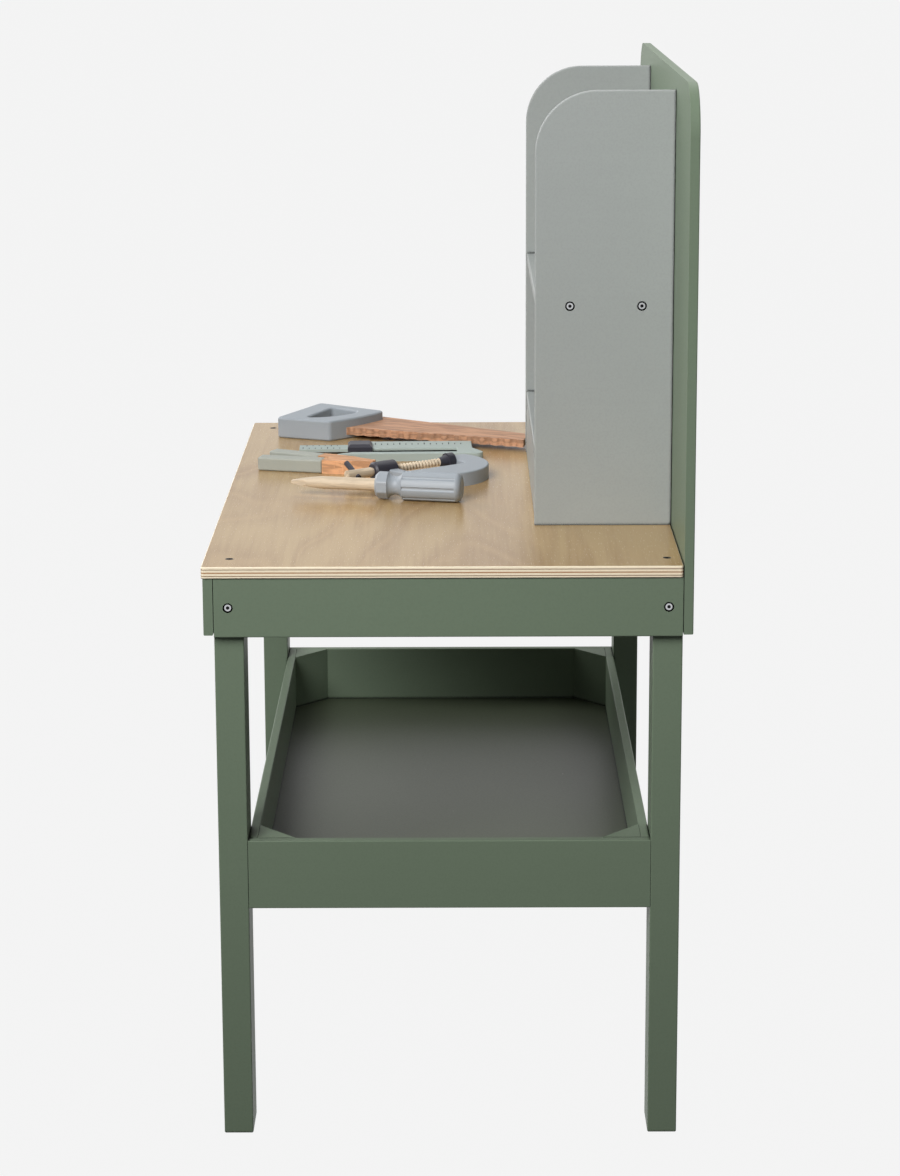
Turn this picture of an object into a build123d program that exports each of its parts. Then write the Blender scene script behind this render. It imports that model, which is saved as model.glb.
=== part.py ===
from build123d import *
import os
from math import cos, radians, sin

# Toy workbench with a shelf unit, a storage tray and five loose play tools.
# Millimetres. X runs along the bench (right is +X), Y from the front (-) to the back (+), Z up.
# The origin is on the floor under the middle of the whole bench.

# Table
TABLE_LENGTH = 700.0
TABLE_DEPTH = 450.0
TABLE_HEIGHT = 570.0
TOP_THICK = 11.0
TOP_CORNER_R = 3.0
TOP_EDGE_BREAK = 0.8
TOP_OVERHANG_FRONT = 1.5
TOP_OVERHANG_END = 1.0

# Frame boards and legs
APRON_THICK = 9.0
APRON_HEIGHT = 57.0
FRONT_APRON_HEIGHT = 55.0
BACK_THICK = 9.0
BACK_DROP = 55.0
BACK_RISE = 444.0
BACK_CORNER_R = 45.0
LEG_LONG = 45.0
LEG_SHORT = 28.0
EDGE_EASE = 1.2
BOARD_GAP = 0.7
FOOT_CHAMFER = 1.0

# Tray under the table
TRAY_RIM_HEIGHT = 299.0
TRAY_WALL_HEIGHT = 68.0
TRAY_WALL = 9.0
TRAY_FLOOR_THICK = 4.0
TRAY_FLOOR_RISE = 3.0
TRAY_GROOVE = 4.0
CORNER_BLOCK = 36.0

# Shelf unit
SHELF_WIDTH = 366.0
SHELF_DEPTH = 135.0
SHELF_HEIGHT = 427.0
SHELF_SIDE_THICK = 9.0
SHELF_FRONT_R = 60.0
UPPER_SHELF_TOP = 223.0
UPPER_SHELF_THICK = 9.0
LOWER_SHELF_TOP = 69.0
LOWER_SHELF_THICK = 9.0
SHELF_SETBACK = 1.0
PLINTH_THICK = 9.0

# Fasteners
BOLT_D = 5.0
BOLT_HEAD_D = 7.4
BOLT_HEAD_H = 5.0
BOLT_HEAD_CHAMFER = 0.5
BOLT_SOCKET = 3.2
BOLT_SOCKET_DEPTH = 3.0
BOLT_RECESS_D = 9.6
BOLT_SINK = 0.8
BOLT_CLEARANCE = 0.2
INSERT_D = 9.0
INSERT_LENGTH = 14.0
INSERT_CLEARANCE = 0.05
BOLT_END_GAP = 2.0
SHELF_BOLT_REACH = 30.0
SHELF_BOLT_FRONT = 34.0
SHELF_BOLT_PITCH = 70.0
SCREW_D = 3.5
SCREW_HEAD_D = 8.0
SCREW_REACH = 24.0
SCREW_CLEARANCE = 0.1
SCREW_SLOT = 1.0
SHELF_SCREW_LOW = 90.0
SHELF_SCREW_HIGH = 340.0
SHELF_SCREW_INSET = 30.0
DOWEL_D = 5.0
DOWEL_LENGTH = 18.0
DOWEL_IN_SIDE = 6.0
DOWEL_CLEARANCE = 0.05

# Saw: local x along the blade from the heel of the handle, local y away from the teeth
SAW_PLACE = (-249.0, 98.5)
SAW_TURN = 68.4
SAW_HANDLE_THICK = 23.5
SAW_CHIN = (0.0, -13.0)
SAW_BUTT = (-67.0, -13.0)
SAW_HORN = (-57.0, 88.0)
SAW_BROW = (33.0, 69.0)
SAW_FRONT_BULGE = 5.0
SAW_HOLE = ((-36.0, 0.0), (-32.0, 68.0), (6.0, 55.0))
SAW_HOLE_BULGE = (-9.0, 18.0)
SAW_HOLE_R = 5.0
SAW_CORNER_R = 6.0
SAW_HANDLE_EASE = 2.5
SAW_BLADE_THICK = 8.5
SAW_BLADE_LIFT = 5.0
SAW_HEEL = (-1.0, 8.0)
SAW_TOE = (226.0, 11.0)
SAW_TOE_BACK = (219.0, 45.0)
SAW_HEEL_BACK = (24.0, 82.0)
SAW_TENON = 10.0
SAW_TOOTH_PITCH = 14.7
SAW_TOOTH_SWING = 1.5

# Screwdriver: local x along its axis from the tip
DRIVER_PLACE = (43.0, 67.5)
DRIVER_TURN = 78.6
DRIVER_SHAFT_D = 13.0
DRIVER_SHAFT_LENGTH = 90.0
DRIVER_TIP_LENGTH = 34.0
DRIVER_TIP_THICK = 2.4
DRIVER_TENON = 30.0
DRIVER_TENON_CLEARANCE = 0.05
GRIP_D = 30.0
GRIP_LENGTH = 90.0
GRIP_COLLAR_D = 28.0
GRIP_COLLAR_LENGTH = 13.0
GRIP_COLLAR_EASE = 3.0
GRIP_COLLAR_FLATS = 0.8
GRIP_NECK_D = 19.0
GRIP_NECK_LENGTH = 16.0
GRIP_END_R = 6.0
GRIP_FLUTES = 8
GRIP_FLUTE_D = 5.0
GRIP_FLUTE_DEPTH = 1.3

# Pliers: local x from the pivot towards the jaw tips
PLIERS_PLACE = (-75.3, 114.0)
PLIERS_TURN = 70.0
PLIERS_THICK = 14.5
PLIERS_LAP_GAP = 0.3
PLIERS_BOSS_R = 15.0
PLIERS_PIN_D = 8.0
PLIERS_PIN_CLEARANCE = 0.08
PLIERS_JAW_LENGTH = 38.0
PLIERS_JAW_ROOT = 14.0
PLIERS_JAW_WAIST = (26.0, 7.5)
PLIERS_JAW_TIP = 4.5
PLIERS_JAW_GAP = 1.6
PLIERS_NEAR_SHANK = 2.0
PLIERS_FAR_SHANK = 13.0
PLIERS_SHANK_WIDTH = 15.0
PLIERS_GRIP_LENGTH = 74.0
PLIERS_GRIP_WIDTH = 17.0
PLIERS_SPREAD = 13.0
PLIERS_OFFSET = 7.5
PLIERS_TENON = 14.0
PLIERS_TENON_WIDTH = 8.0
PLIERS_TENON_THICK = 8.0
PLIERS_GRIP_EASE = 2.0

# Slide gauge: local x along its strip, local y away from the plain arm
GAUGE_PLACE = (-125.0, 106.5)
GAUGE_TURN = 91.5
GAUGE_THICK = 9.0
GAUGE_ARM_LENGTH = 161.0
GAUGE_ARM_WIDTH = 9.0
GAUGE_ARM_POINT = 18.0
GAUGE_GAP = 20.0
GAUGE_STRIP_WIDTH = 38.0
GAUGE_STRIP_START = 12.0
GAUGE_STRIP_LENGTH = 138.0
GAUGE_BRIDGE = 17.0
GAUGE_CORNER_R = 7.0
GAUGE_EASE = 1.2
RULE_WIDTH = 24.0
RULE_THICK = 3.0
RULE_LENGTH = 95.0
RULE_LIFT = 3.0
RULE_OUT = 54.0
RULE_TRAVEL = 80.0
RULE_CLEARANCE = 0.2
RULE_END_ROOM = 2.0
GAUGE_BACK_WALL = 4.0
THUMB_LENGTH = 27.0
THUMB_REACH = 23.0
THUMB_CHEEK = 4.0
THUMB_TOP = 4.4
THUMB_CLEARANCE = 0.3
THUMB_CHAMFER = 3.0

# Clamp: local x along the spindle towards the anvil, origin at the middle of the round frame
CLAMP_PLACE = (-46.0, 214.5)
CLAMP_TURN = 124.5
CLAMP_THICK = 15.0
CLAMP_R = 58.0
CLAMP_AXIS = 9.0
CLAMP_AXIS_LIFT = 13.0
CLAMP_ANVIL = 29.5
CLAMP_TIP = 23.0
CLAMP_TIP_R = 5.0
CLAMP_THROAT_LEFT = 46.0
CLAMP_THROAT_FLOOR = -17.0
CLAMP_THROAT_R = 5.0
CLAMP_EASE = 1.5
NUT_D = 20.0
NUT_LENGTH = 28.5
NUT_STAND = 1.5
NUT_CHAMFER = 2.0
NUT_CLEARANCE = 0.05
SPINDLE_D = 8.6
SPINDLE_CLEARANCE = 0.08
SPINDLE_GROOVE_D = 5.8
SPINDLE_RINGS = 14
SPINDLE_RING_PITCH = 4.0
SPINDLE_HANDLE_D = 10.0
SPINDLE_HANDLE_LENGTH = 30.0
SPINDLE_SHOULDER_GAP = 2.0
PAD_D = 17.0
PAD_DISC = 8.0
PAD_CONE = 9.5
PAD_STEP = 1.5
PAD_SOCKET = 4.0
PAD_GAP = 0.5
TOMMY_D = 6.0
TOMMY_UP = 20.0
TOMMY_DOWN = 6.5
TOMMY_LEAN = 64.0
TOMMY_INSET = 11.0
TOMMY_CLEARANCE = 0.05

# Places that several pieces share
HALF_LENGTH = TABLE_LENGTH / 2
UNDERSIDE = TABLE_HEIGHT - TOP_THICK
FRONT_EDGE = -(TABLE_DEPTH + BACK_THICK) / 2
BACK_FACE = FRONT_EDGE + TABLE_DEPTH
BOARD_BACK = BACK_FACE - BOARD_GAP
APRON_END = HALF_LENGTH - TOP_OVERHANG_END
LEG_OUT = APRON_END - APRON_THICK
LEG_IN = LEG_OUT - LEG_LONG
LEG_MID = (LEG_OUT + LEG_IN) / 2
FRONT_LEG_FACE = FRONT_EDGE + TOP_OVERHANG_FRONT + APRON_THICK
LEG_FRONT_Y = (FRONT_LEG_FACE, FRONT_LEG_FACE + LEG_SHORT)
LEG_BACK_Y = (BACK_FACE - LEG_SHORT, BACK_FACE)
APRON_BOLT_Z = UNDERSIDE - APRON_HEIGHT / 2
TRAY_FRONT = LEG_FRONT_Y[1]
TRAY_BACK = LEG_BACK_Y[0]
TRAY_BASE = TRAY_RIM_HEIGHT - TRAY_WALL_HEIGHT
TRAY_FLOOR_Z = (TRAY_BASE + TRAY_FLOOR_RISE, TRAY_BASE + TRAY_FLOOR_RISE + TRAY_FLOOR_THICK)
TRAY_BOLT_Z = (TRAY_FLOOR_Z[1] + TRAY_RIM_HEIGHT) / 2
TRAY_INNER_X = LEG_OUT - TRAY_WALL
SHELF_OUT = SHELF_WIDTH / 2
SHELF_IN = SHELF_OUT - SHELF_SIDE_THICK
SHELF_FRONT = BACK_FACE - SHELF_DEPTH
SHELF_BOARD_FRONT = SHELF_FRONT + SHELF_SETBACK
UPPER_SHELF_Z = (TABLE_HEIGHT + UPPER_SHELF_TOP - UPPER_SHELF_THICK, TABLE_HEIGHT + UPPER_SHELF_TOP)
LOWER_SHELF_Z = (TABLE_HEIGHT + LOWER_SHELF_TOP - LOWER_SHELF_THICK, TABLE_HEIGHT + LOWER_SHELF_TOP)
BOLT_SEAT = BOLT_HEAD_H + BOLT_SINK
SIDES = {"left": -1, "right": 1}
BOTTOM_UP = (Align.CENTER, Align.CENTER, Align.MIN)


def span_box(x, y, z):
    """A box between the low and high value on each axis."""
    low = Vector(min(x), min(y), min(z))
    size = Vector(max(x), max(y), max(z)) - low
    return Pos(low) * Box(size.X, size.Y, size.Z, align=(Align.MIN, Align.MIN, Align.MIN))


def rod(start, way, length, radius):
    """A cylinder from a point along a direction."""
    return Plane(origin=start, z_dir=way) * Cylinder(radius, length, align=BOTTOM_UP)


def eased(solid, radius, *axes):
    """Rounds every straight edge that runs along the given axes."""
    edges = [edge for axis in axes for edge in solid.edges().filter_by(axis)]
    return fillet(edges, radius)


def prism(outline, thick):
    """An outline drawn on the ground, made a plate of that thickness."""
    return extrude(outline, thick)


def on_table(place, turn):
    """Where a tool lies on the tabletop: its origin from the front edge, and its turn."""
    return Location((place[0], FRONT_EDGE + place[1], TABLE_HEIGHT), (0, 0, turn))


def write(name, *shapes):
    """Saves one sub-part, of one solid or of several like ones."""
    solids = [solid for shape in shapes for solid in shape.solids()]
    export_step(solids[0] if len(solids) == 1 else Compound(solids), f"parts/{name}.step")


# Fasteners


class Bolt:
    """A socket-head bolt in a round recess: where its head lies flush, and which way it goes in."""

    def __init__(self, face, way, reach):
        self.face = Vector(*face)
        self.way = Vector(*way)
        self.reach = reach
        self.seat = self.face + self.way * BOLT_SEAT

    def solid(self):
        """The bolt: a chamfered head with a hex socket, and its shank."""
        head = rod(self.seat, -self.way, BOLT_HEAD_H, BOLT_HEAD_D / 2)
        rim = head.edges().sort_by_distance(self.face)[0]
        head = chamfer(rim, BOLT_HEAD_CHAMFER)
        top = self.seat - self.way * BOLT_HEAD_H
        hexagon = RegularPolygon(BOLT_SOCKET / 2, 6, major_radius=False)
        socket = extrude(Plane(origin=top, z_dir=self.way) * hexagon, BOLT_SOCKET_DEPTH)
        return head - socket + rod(self.seat, self.way, self.reach, BOLT_D / 2)

    def recess(self):
        """What the bolt takes out of the board that its head sinks into."""
        hole = rod(self.face, self.way, BOLT_SEAT, BOLT_RECESS_D / 2)
        return hole + rod(self.face, self.way, BOLT_SEAT + self.reach, BOLT_D / 2 + BOLT_CLEARANCE)

    def insert(self, face_depth):
        """The threaded sleeve that the shank screws into, face_depth below the head's face."""
        start = self.face + self.way * face_depth
        sleeve = rod(start, self.way, INSERT_LENGTH, INSERT_D / 2)
        return sleeve - rod(start, self.way, INSERT_LENGTH, BOLT_D / 2 + INSERT_CLEARANCE)

    def insert_bore(self, face_depth):
        """The hole for the sleeve, with room for the end of the shank."""
        start = self.face + self.way * face_depth
        bore = rod(start, self.way, INSERT_LENGTH, INSERT_D / 2 + INSERT_CLEARANCE)
        end = self.seat + self.way * (self.reach + BOLT_END_GAP)
        return bore + rod(start, self.way, (end - start).length, BOLT_D / 2 + BOLT_CLEARANCE)


class Screw:
    """A countersunk wood screw whose head is flush with a face."""

    def __init__(self, face, way, reach):
        self.face = Vector(*face)
        self.way = Vector(*way)
        self.reach = reach

    def form(self, extra):
        """The screw's outline, grown by a clearance on its radii."""
        head_tall = (SCREW_HEAD_D - SCREW_D) / 2
        head = Cone(SCREW_HEAD_D / 2 + extra, SCREW_D / 2 + extra, head_tall, align=BOTTOM_UP)
        shank = Cylinder(SCREW_D / 2 + extra, self.reach + extra, align=BOTTOM_UP)
        return Plane(origin=self.face, z_dir=self.way) * (head + shank)

    def solid(self):
        """The screw with a cross recess in its head."""
        slots = Box(SCREW_HEAD_D / 2, SCREW_SLOT, 2 * SCREW_SLOT)
        slots += Box(SCREW_SLOT, SCREW_HEAD_D / 2, 2 * SCREW_SLOT)
        return self.form(0) - Plane(origin=self.face, z_dir=self.way) * slots

    def hole(self):
        """The countersunk hole for the screw."""
        return self.form(SCREW_CLEARANCE)


def leg_middle_y(row):
    """The middle of the front or the back legs."""
    return (row[0] + row[1]) / 2


BOARD_REACH = APRON_THICK - BOLT_SEAT + INSERT_LENGTH + BOLT_END_GAP
BACK_REACH = BACK_THICK - BOLT_SEAT + INSERT_LENGTH + BOLT_END_GAP
TRAY_REACH = LEG_SHORT + TRAY_WALL - BOLT_SEAT + INSERT_LENGTH + BOLT_END_GAP


def apron_bolt(side, row):
    """Holds a side apron to a leg, from the end of the bench."""
    return Bolt((side * APRON_END, leg_middle_y(row), APRON_BOLT_Z), (-side, 0, 0), BOARD_REACH)


def front_bolt(side):
    """Holds the front apron to a front leg."""
    return Bolt((side * LEG_MID, FRONT_LEG_FACE - APRON_THICK, APRON_BOLT_Z), (0, 1, 0), BOARD_REACH)


def back_bolt(side):
    """Holds the back panel to a back leg."""
    return Bolt((side * LEG_MID, BACK_FACE + BACK_THICK, APRON_BOLT_Z), (0, -1, 0), BACK_REACH)


def tray_bolt(side, row):
    """Goes through a leg and the tray's long wall into a corner block."""
    if row is LEG_FRONT_Y:
        return Bolt((side * LEG_MID, row[0], TRAY_BOLT_Z), (0, 1, 0), TRAY_REACH)
    return Bolt((side * LEG_MID, row[1], TRAY_BOLT_Z), (0, -1, 0), TRAY_REACH)


def top_screw(side, row):
    """Holds the tabletop down on a leg."""
    return Screw((side * LEG_MID, leg_middle_y(row), TABLE_HEIGHT), (0, 0, -1), TOP_THICK + SCREW_REACH)


def shelf_bolts(side):
    """The bolts through one side panel into the end of the upper shelf."""
    z = (UPPER_SHELF_Z[0] + UPPER_SHELF_Z[1]) / 2
    first = SHELF_FRONT + SHELF_BOLT_FRONT
    return [Bolt((side * SHELF_OUT, first + i * SHELF_BOLT_PITCH, z), (-side, 0, 0), SHELF_BOLT_REACH)
            for i in range(2)]


def shelf_screws(side):
    """The screws that hold one side panel to the back panel and to the tabletop."""
    x = side * (SHELF_OUT - SHELF_SIDE_THICK / 2)
    behind = [Screw((x, BACK_FACE + BACK_THICK, TABLE_HEIGHT + z), (0, -1, 0), BACK_THICK + SCREW_REACH)
              for z in (SHELF_SCREW_LOW, SHELF_SCREW_HIGH)]
    below = [Screw((x, y, UNDERSIDE), (0, 0, 1), TOP_THICK + SCREW_REACH)
             for y in (SHELF_FRONT + SHELF_SCREW_INSET, BACK_FACE - 2 * SHELF_SCREW_INSET)]
    return behind, below


def dowel(side, y, z, extra):
    """A dowel between a side panel and the end of a board."""
    start = (side * (SHELF_IN + DOWEL_IN_SIDE + extra), y, z)
    return rod(start, (-side, 0, 0), DOWEL_LENGTH + 2 * extra, DOWEL_D / 2 + extra)


def dowels(side, extra):
    """The dowels in one side panel: two in the lower shelf and one in the plinth."""
    shelf_z = (LOWER_SHELF_Z[0] + LOWER_SHELF_Z[1]) / 2
    plinth_z = (TABLE_HEIGHT + LOWER_SHELF_Z[0]) / 2
    first = SHELF_FRONT + SHELF_BOLT_FRONT
    spots = [(first, shelf_z), (first + SHELF_BOLT_PITCH, shelf_z)]
    spots.append((SHELF_BOARD_FRONT + PLINTH_THICK / 2, plinth_z))
    return [dowel(side, y, z, extra) for y, z in spots]


# Bench


def tabletop():
    """The plywood top, with small round corners and a broken edge."""
    board = span_box((-HALF_LENGTH, HALF_LENGTH), (FRONT_EDGE, BOARD_BACK), (UNDERSIDE, TABLE_HEIGHT))
    board = eased(board, TOP_CORNER_R, Axis.Z)
    board = chamfer(board.faces().sort_by(Axis.Z)[-1].edges(), TOP_EDGE_BREAK)
    for side in SIDES.values():
        for row in (LEG_FRONT_Y, LEG_BACK_Y):
            board -= top_screw(side, row).hole()
        for screw in shelf_screws(side)[1]:
            board -= screw.hole()
    return board


def leg(side, row):
    """A rectangular leg with eased edges and a chamfered foot."""
    post = span_box((side * LEG_IN, side * LEG_OUT), row, (0, UNDERSIDE))
    post = eased(post, EDGE_EASE, Axis.Z)
    post = chamfer(post.faces().sort_by(Axis.Z)[0].edges(), FOOT_CHAMFER)
    outward = front_bolt(side) if row is LEG_FRONT_Y else back_bolt(side)
    board = APRON_THICK if row is LEG_FRONT_Y else BACK_THICK
    post -= apron_bolt(side, row).insert_bore(APRON_THICK)
    post -= outward.insert_bore(board)
    post -= tray_bolt(side, row).recess()
    return post - top_screw(side, row).hole()


def side_apron(side):
    """The board under the end of the tabletop, between the front apron and the back panel."""
    board = span_box((side * LEG_OUT, side * APRON_END), (FRONT_LEG_FACE + BOARD_GAP, BOARD_BACK),
                     (UNDERSIDE - APRON_HEIGHT, UNDERSIDE))
    board = fillet(board.faces().sort_by(Axis.Z)[0].edges().filter_by(Axis.Y), EDGE_EASE)
    for row in (LEG_FRONT_Y, LEG_BACK_Y):
        board -= apron_bolt(side, row).recess()
    return board


def front_apron():
    """The board under the front edge of the tabletop, in front of the legs."""
    board = span_box((-APRON_END, APRON_END), (FRONT_LEG_FACE - APRON_THICK, FRONT_LEG_FACE),
                     (UNDERSIDE - FRONT_APRON_HEIGHT, UNDERSIDE))
    board = fillet(board.faces().sort_by(Axis.Z)[0].edges().filter_by(Axis.X), EDGE_EASE)
    for side in SIDES.values():
        board -= front_bolt(side).recess()
    return board


def back_panel():
    """The full-length board behind the table, from the apron up, with large round upper corners."""
    low = UNDERSIDE - BACK_DROP
    high = TABLE_HEIGHT + BACK_RISE
    board = span_box((-HALF_LENGTH, HALF_LENGTH), (BACK_FACE, BACK_FACE + BACK_THICK), (low, high))
    upper = board.edges().filter_by(Axis.Y).group_by(Axis.Z)[-1]
    board = fillet(upper, BACK_CORNER_R)
    board = fillet(board.faces().sort_by(Axis.Y)[-1].edges(), EDGE_EASE)
    for side in SIDES.values():
        board -= back_bolt(side).recess()
        for screw in shelf_screws(side)[0]:
            board -= screw.hole()
    return board


# Tray


def tray_floor(play=0.0):
    """The thin bottom panel, let into a groove round the four walls."""
    x = TRAY_INNER_X + TRAY_GROOVE
    y = (TRAY_FRONT + TRAY_WALL - TRAY_GROOVE, TRAY_BACK - TRAY_WALL + TRAY_GROOVE)
    return span_box((-x - play, x + play), (y[0] - play, y[1] + play), TRAY_FLOOR_Z)


def tray_end(side):
    """The short wall, flush with the outer faces of the legs."""
    wall = span_box((side * TRAY_INNER_X, side * LEG_OUT), (TRAY_FRONT, TRAY_BACK),
                    (TRAY_BASE, TRAY_RIM_HEIGHT))
    return fillet(wall.edges().filter_by(Axis.Y), EDGE_EASE) - tray_floor()


def tray_wall(row):
    """A long wall, between the short ones and against the legs."""
    y = (TRAY_FRONT, TRAY_FRONT + TRAY_WALL)
    if row is LEG_BACK_Y:
        y = (TRAY_BACK - TRAY_WALL, TRAY_BACK)
    wall = span_box((-TRAY_INNER_X, TRAY_INNER_X), y, (TRAY_BASE, TRAY_RIM_HEIGHT))
    wall = fillet(wall.edges().filter_by(Axis.X), EDGE_EASE) - tray_floor()
    for side in SIDES.values():
        wall -= tray_bolt(side, row).recess()
    return wall


def corner_block(side, row):
    """A triangular block that ties two tray walls together and takes the bolt through the leg."""
    inward = 1 if row is LEG_FRONT_Y else -1
    corner_y = TRAY_FRONT + TRAY_WALL if inward > 0 else TRAY_BACK - TRAY_WALL
    corner = (side * TRAY_INNER_X, corner_y)
    triangle = make_face(Polyline(corner, (corner[0] - side * CORNER_BLOCK, corner_y),
                                  (corner[0], corner_y + inward * CORNER_BLOCK), close=True))
    height = TRAY_RIM_HEIGHT - TRAY_FLOOR_Z[1]
    block = Pos(0, 0, TRAY_FLOOR_Z[1]) * extrude(triangle, height, dir=(0, 0, 1))
    return block - tray_bolt(side, row).insert_bore(LEG_SHORT + TRAY_WALL)


# Shelf unit


def shelf_side(side):
    """A side panel that stands on the table against the back panel, with a large round front corner."""
    panel = span_box((side * SHELF_IN, side * SHELF_OUT), (SHELF_FRONT, BOARD_BACK),
                     (TABLE_HEIGHT, TABLE_HEIGHT + SHELF_HEIGHT))
    corner = panel.edges().filter_by(Axis.X).group_by(Axis.Z)[-1].sort_by(Axis.Y)[0]
    panel = fillet(corner, SHELF_FRONT_R)
    front = panel.edges().group_by(Axis.Y)[0].filter_by(Axis.Z)
    panel = fillet(front, EDGE_EASE)
    for bolt in shelf_bolts(side):
        panel -= bolt.recess()
    for screw in shelf_screws(side)[0] + shelf_screws(side)[1]:
        panel -= screw.hole()
    for peg in dowels(side, DOWEL_CLEARANCE):
        panel -= peg
    return panel


def shelf_board(z, ease):
    """A shelf between the two side panels, with its front edge eased."""
    board = span_box((-SHELF_IN, SHELF_IN), (SHELF_BOARD_FRONT, BOARD_BACK), z)
    edges = board.edges().group_by(Axis.Y)[0].filter_by(Axis.X)
    return fillet(edges, ease) if ease else board


def upper_shelf():
    """The shelf that the visible bolts hold."""
    board = shelf_board(UPPER_SHELF_Z, EDGE_EASE)
    for side in SIDES.values():
        for bolt in shelf_bolts(side):
            board -= bolt.recess()
    return board


def lower_shelf():
    """The shelf over the plinth."""
    board = shelf_board(LOWER_SHELF_Z, EDGE_EASE)
    for side in SIDES.values():
        for peg in dowels(side, DOWEL_CLEARANCE):
            board -= peg
    return board


def shelf_plinth():
    """The upright board that closes the space under the lower shelf."""
    board = span_box((-SHELF_IN, SHELF_IN), (SHELF_BOARD_FRONT, SHELF_BOARD_FRONT + PLINTH_THICK),
                     (TABLE_HEIGHT, LOWER_SHELF_Z[0]))
    for side in SIDES.values():
        for peg in dowels(side, DOWEL_CLEARANCE):
            board -= peg
    return board


# Saw

SAW_FRONT_MID = (Vector(*SAW_CHIN) + Vector(*SAW_BROW)) / 2


def saw_handle_outline(inset=0.0):
    """The closed D of the handle, drawn smaller by an inset."""
    front = Vector(*SAW_BROW) - Vector(*SAW_CHIN)
    bulge = SAW_FRONT_MID + Vector(front.Y, -front.X).normalized() * SAW_FRONT_BULGE
    rest = Polyline(SAW_BROW, SAW_HORN, SAW_BUTT, SAW_CHIN)
    outline = make_face([ThreePointArc(SAW_CHIN, bulge, SAW_BROW), rest])
    if inset:
        outline = offset(outline, -inset, kind=Kind.INTERSECTION)
    return fillet(outline.vertices(), SAW_CORNER_R)


def saw_blade():
    """The tapered blade with a row of shallow round teeth, and its tenon in the handle."""
    heel = Vector(*SAW_HEEL)
    toe = Vector(*SAW_TOE)
    way = (toe - heel).normalized()
    out = Vector(way.Y, -way.X)
    waves = 2 * round((toe - heel).length / SAW_TOOTH_PITCH)
    step = (toe - heel) / waves
    edges = []
    for i in range(waves):
        swing = SAW_TOOTH_SWING if i % 2 else -SAW_TOOTH_SWING
        start = heel + step * i
        edges.append(ThreePointArc(start, start + step / 2 + out * swing, start + step))
    root = SAW_FRONT_MID - Vector(SAW_TENON, 0)
    edges.append(Polyline(SAW_TOE, SAW_TOE_BACK, SAW_HEEL_BACK, root, SAW_HEEL))
    blade = Pos(0, 0, SAW_BLADE_LIFT) * prism(make_face(edges), SAW_BLADE_THICK)
    blade -= prism(saw_handle_outline(SAW_TENON), SAW_HANDLE_THICK)
    return blade.solids().sort_by(SortBy.VOLUME)[-1]


def saw_finger_hole():
    """The opening for the fingers, with a bulged front side."""
    low, high, front = SAW_HOLE
    outline = make_face([Polyline(front, high, low), ThreePointArc(low, SAW_HOLE_BULGE, front)])
    return fillet(outline.vertices(), SAW_HOLE_R)


def saw_handle():
    """The handle with its finger opening and the socket for the blade."""
    handle = prism(saw_handle_outline(), SAW_HANDLE_THICK)
    handle -= prism(saw_finger_hole(), SAW_HANDLE_THICK)
    rims = handle.faces().sort_by(Axis.Z)[0].edges() + handle.faces().sort_by(Axis.Z)[-1].edges()
    return fillet(rims, SAW_HANDLE_EASE) - saw_blade()


# Screwdriver


def driver_shaft():
    """A dowel that tapers to a flat tip, and goes on into the handle."""
    radius = DRIVER_SHAFT_D / 2
    shaft = rod((0, 0, 0), (1, 0, 0), DRIVER_SHAFT_LENGTH + DRIVER_TENON, radius)
    tip_half = DRIVER_TIP_THICK / 2
    flat = make_face(Polyline((0, tip_half), (DRIVER_TIP_LENGTH, radius), (0, radius), close=True))
    waist = make_face(Polyline((0, radius / 2), (DRIVER_TIP_LENGTH / 2, radius), (0, radius), close=True))
    for turn in (0, 180):
        shaft -= Rot(turn, 0, 0) * extrude(Plane.XZ * flat, DRIVER_SHAFT_D, both=True)
        shaft -= Rot(turn, 0, 0) * extrude(waist, DRIVER_SHAFT_D, both=True)
    return shaft


def driver_handle():
    """A turned handle: eight-sided collar, waisted neck and a fluted grip with a rounded end."""
    collar_r = GRIP_COLLAR_D / 2
    grip_r = GRIP_D / 2
    collar_end = GRIP_COLLAR_LENGTH
    neck_end = collar_end + GRIP_NECK_LENGTH
    end_start = (GRIP_LENGTH - GRIP_END_R, grip_r)
    end = (GRIP_LENGTH, grip_r - GRIP_END_R)
    collar = (collar_end, collar_r)
    neck = ((collar_end + neck_end) / 2, GRIP_NECK_D / 2)
    profile = [
        Polyline((0, 0), (0, collar_r - GRIP_COLLAR_EASE), (GRIP_COLLAR_EASE, collar_r), collar),
        ThreePointArc(collar, neck, (neck_end, grip_r)),
        Line((neck_end, grip_r), end_start),
        RadiusArc(end_start, end, GRIP_END_R),
        Polyline(end, (GRIP_LENGTH, 0), (0, 0)),
    ]
    handle = revolve(Plane.XZ * make_face(profile), Axis.X)
    for i in range(GRIP_FLUTES):
        start = (neck_end, grip_r + GRIP_FLUTE_D / 2 - GRIP_FLUTE_DEPTH, 0)
        flute = rod(start, (1, 0, 0), end_start[0] - neck_end, GRIP_FLUTE_D / 2)
        handle -= Rot(360 * i / GRIP_FLUTES, 0, 0) * flute
    octagon = RegularPolygon(collar_r - GRIP_COLLAR_FLATS, 8, major_radius=False, rotation=180 / 8)
    flats = extrude(Plane.YZ * octagon, collar_end)
    handle -= rod((0, 0, 0), (1, 0, 0), collar_end, grip_r) - flats
    return handle - rod((0, 0, 0), (1, 0, 0), DRIVER_TENON, DRIVER_SHAFT_D / 2 + DRIVER_TENON_CLEARANCE)


# Pliers


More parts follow.
